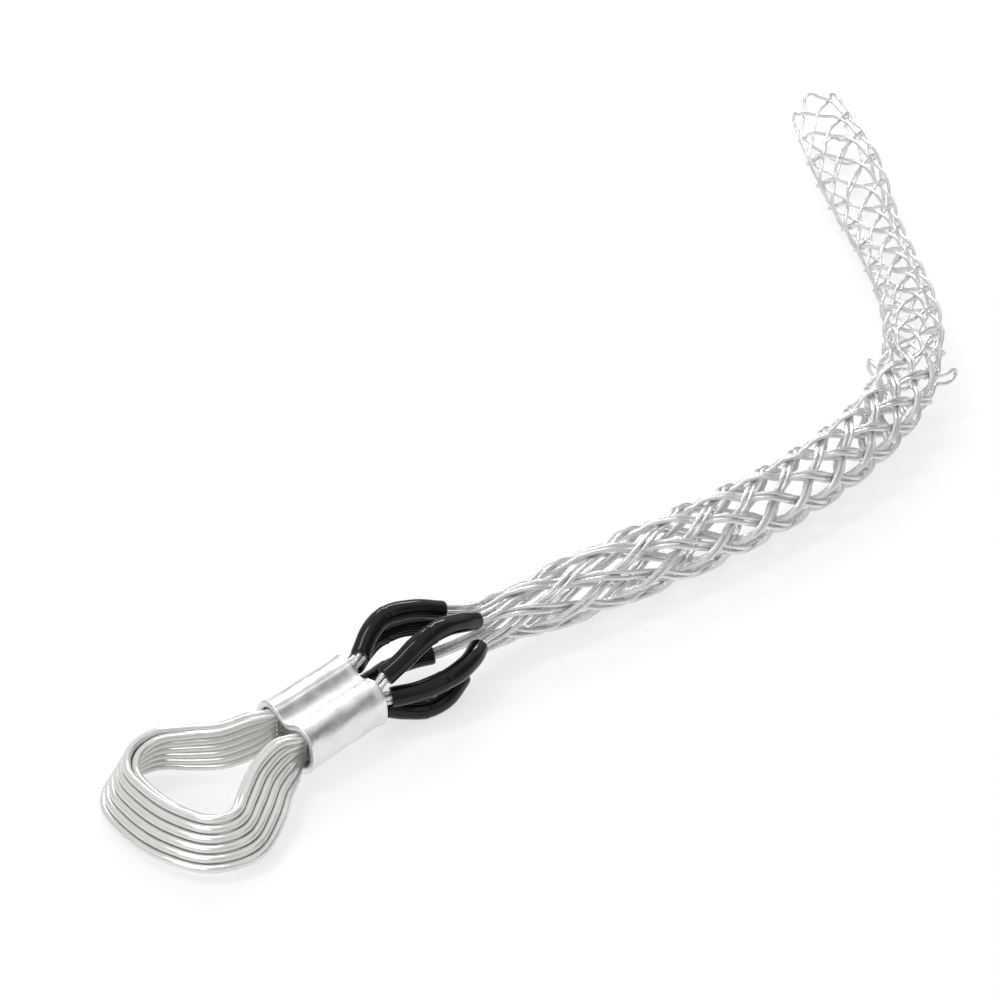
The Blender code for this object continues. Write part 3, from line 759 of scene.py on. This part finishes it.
def build_ferrule():
    length = FERRULE_LENGTH
    # station and growth of the outline, from inside the mouth round the rolled rim to the plain body
    stations = [(5.0, -2.4), (0.6, -2.1), (0.15, -1.6), (0.0, -1.1), (0.0, 0.1), (0.2, 0.45), (0.7, 0.55),
                (1.4, 0.5), (2.2, 0.25), (3.2, 0.05), (4.5, 0.0)]
    ends = [(length - s, g) for s, g in reversed(stations)]
    course = stations + [(length * f, 0.0) for f in (0.2, 0.3, 0.4, 0.5, 0.6, 0.7, 0.8)] + ends
    rings = []
    for s, grow in course:
        outline = ferrule_outline(grow)[::-1]
        wobble = 0.05 * np.sin(np.arange(len(outline)) * 0.7 + s * 0.35)
        rings.append(across(s, outline * (1.0 + wobble[:, None] / 8.0)))
    rings = np.array(rings)
    sides = rings.shape[1]
    uvs = tube_uvs(np.array([s for s, _ in course]), sides)
    faces = tube_faces(len(rings), sides)
    obj = make_mesh("pressed_ferrule", rings.reshape(-1, 3), faces, ferrule_material(), uvs)
    sub = obj.modifiers.new("smooth", "SUBSURF")
    sub.levels = sub.render_levels = 1
    place(obj, "ferrule_aluminium", "ferrule")
    # the pressed metal between the ropes, seen a little inside each mouth, with the shade inside the
    # mouth painted into its dark colour
    core_shade_mat, _, _, shader = new_material("ferrule_inside_shade")
    shader.inputs["Base Color"].default_value = (0.36, 0.35, 0.31, 1)
    shader.inputs["Metallic"].default_value = 0.4
    shader.inputs["Roughness"].default_value = 0.6
    for word, s in (("eye", CORE_DEPTH), ("sock", length - CORE_DEPTH)):
        ring = across(s, ferrule_outline(-2.3))
        n = len(ring)
        k = np.arange(n)
        faces = np.stack([k, (k + 1) % n, np.full(n, n)], 1)
        if word == "sock":
            faces = faces[:, ::-1]
        core = make_mesh("ferrule_core_" + word, np.vstack([ring, frames(s)[0]]), faces, core_shade_mat)
        place(core, "ferrule_aluminium")


build_ropes()
build_coats()
build_sleeves()
build_ferrule()

# ---------------------------------------------------------------- floor, light and camera
scene = bpy.context.scene
scene.view_settings.view_transform = "Standard"

FLOOR_HALF = 6
FLOOR_GLOW = 0.7
floor_mesh = bpy.data.meshes.new("floor")
corners = [(x * FLOOR_HALF, y * FLOOR_HALF, 0) for x, y in ((-1, -1), (1, -1), (1, 1), (-1, 1))]
floor_mesh.from_pydata(corners, [], [(0, 1, 2, 3)])
floor = bpy.data.objects.new("floor", floor_mesh)
scene.collection.objects.link(floor)
floor_mat, fn, fl, fs = new_material("pale_floor")
fs.inputs["Base Color"].default_value = (0.96, 0.96, 0.96, 1)
fs.inputs["Roughness"].default_value = 0.9
fs.inputs["Specular IOR Level"].default_value = 0.0
# seen directly, and in metal and glass, the floor is part white of its own and keeps a light shadow
path = fn.new("ShaderNodeLightPath")
seen = math_node(fn, fl, "MAXIMUM", path.outputs["Is Camera Ray"], path.outputs["Is Glossy Ray"])
seen = math_node(fn, fl, "MAXIMUM", seen, path.outputs["Is Transmission Ray"])
share = math_node(fn, fl, "MULTIPLY", seen, FLOOR_GLOW)
glow = fn.new("ShaderNodeEmission")
blend = fn.new("ShaderNodeMixShader")
fl.new(share, blend.inputs[0])
fl.new(fs.outputs[0], blend.inputs[1])
fl.new(glow.outputs[0], blend.inputs[2])
fl.new(blend.outputs[0], fn["Material Output"].inputs["Surface"])
floor_mesh.materials.append(floor_mat)

world = bpy.data.worlds.new("studio")
scene.world = world
world.use_nodes = True
wn, wl = world.node_tree.nodes, world.node_tree.links
background = wn["Background"]
coord = wn.new("ShaderNodeTexCoord")


def toward(direction, near, far):
    """1 in the given direction, falling smoothly to 0; near and far are cosines."""
    length = math.sqrt(sum(v * v for v in direction))
    dot = wn.new("ShaderNodeVectorMath")
    dot.operation = "DOT_PRODUCT"
    wl.new(coord.outputs["Generated"], dot.inputs[0])
    dot.inputs[1].default_value = [v / length for v in direction]
    fall = wn.new("ShaderNodeMapRange")
    fall.interpolation_type = "SMOOTHSTEP"
    fall.inputs["From Min"].default_value = far
    fall.inputs["From Max"].default_value = near
    wl.new(dot.outputs["Value"], fall.inputs["Value"])
    return fall.outputs[0]


# a pale tent that darkens to the right, by the camera, on the left and low down, so that metal
# and glossy plastic show darker bands
gap = math_node(wn, wl, "MULTIPLY", toward((0.9, 0.0, 0.42), 0.94, 0.84), 0.7)
front = math_node(wn, wl, "MULTIPLY", toward((0.1, -0.85, 0.5), 0.95, 0.84), 0.45)
left = math_node(wn, wl, "MULTIPLY", toward((-0.85, 0.35, 0.45), 0.96, 0.88), 0.3)
low = math_node(wn, wl, "SUBTRACT", 1.0, toward((0, 0, 1), 0.42, 0.12))
low = math_node(wn, wl, "MULTIPLY", low, 0.65)
dark = math_node(wn, wl, "MAXIMUM", math_node(wn, wl, "MAXIMUM", gap, front), left)
dark = math_node(wn, wl, "MAXIMUM", dark, low)
sky = ramp(wn, [(0.0, (1.0, 1.0, 1.0)), (1.0, (0.0, 0.0, 0.0))])
wl.new(dark, sky.inputs[0])
wl.new(sky.outputs["Color"], background.inputs["Color"])
background.inputs["Strength"].default_value = 0.8
# the camera itself sees plain white beyond the floor
plain = wn.new("ShaderNodeBackground")
plain.inputs["Color"].default_value = (1, 1, 1, 1)
ray = wn.new("ShaderNodeLightPath")
either = wn.new("ShaderNodeMixShader")
wl.new(ray.outputs["Is Camera Ray"], either.inputs[0])
wl.new(background.outputs[0], either.inputs[1])
wl.new(plain.outputs[0], either.inputs[2])
wl.new(either.outputs[0], wn["World Output"].inputs["Surface"])


def area(name, place, aim, size, power):
    data = bpy.data.lights.new(name, "AREA")
    data.shape = "RECTANGLE"
    data.size, data.size_y = size
    data.energy = power
    lamp = bpy.data.objects.new(name, data)
    scene.collection.objects.link(lamp)
    lamp.location = place
    direction = Vector(aim) - Vector(place)
    lamp.rotation_euler = direction.to_track_quat("-Z", "Y").to_euler()
    return lamp


area("strip", (-0.1, 1.5, 1.5), (0, 0, 0), (1.4, 0.2), 16)
area("top", (-0.7, -0.3, 1.7), (0, 0, 0), (0.3, 0.9), 7)
area("front", (-0.95, -1.5, 1.0), (-0.1, -0.3, 0), (0.95, 0.5), 6)

FILM_WIDTH = 36
FOCAL_IN_WIDTHS = 1.642
LOOK_DOWN = 30.0
cam_data = bpy.data.cameras.new("photo_view")
cam_data.sensor_width = FILM_WIDTH
cam_data.lens = FOCAL_IN_WIDTHS * FILM_WIDTH
cam_data.clip_start = 0.01
cam = bpy.data.objects.new("photo_view", cam_data)
scene.collection.objects.link(cam)
cam.location = (-0.0571622, -0.7843496, 0.3752598)
cam.rotation_euler = (math.radians(90.0 - LOOK_DOWN), 0, 0)
scene.camera = cam
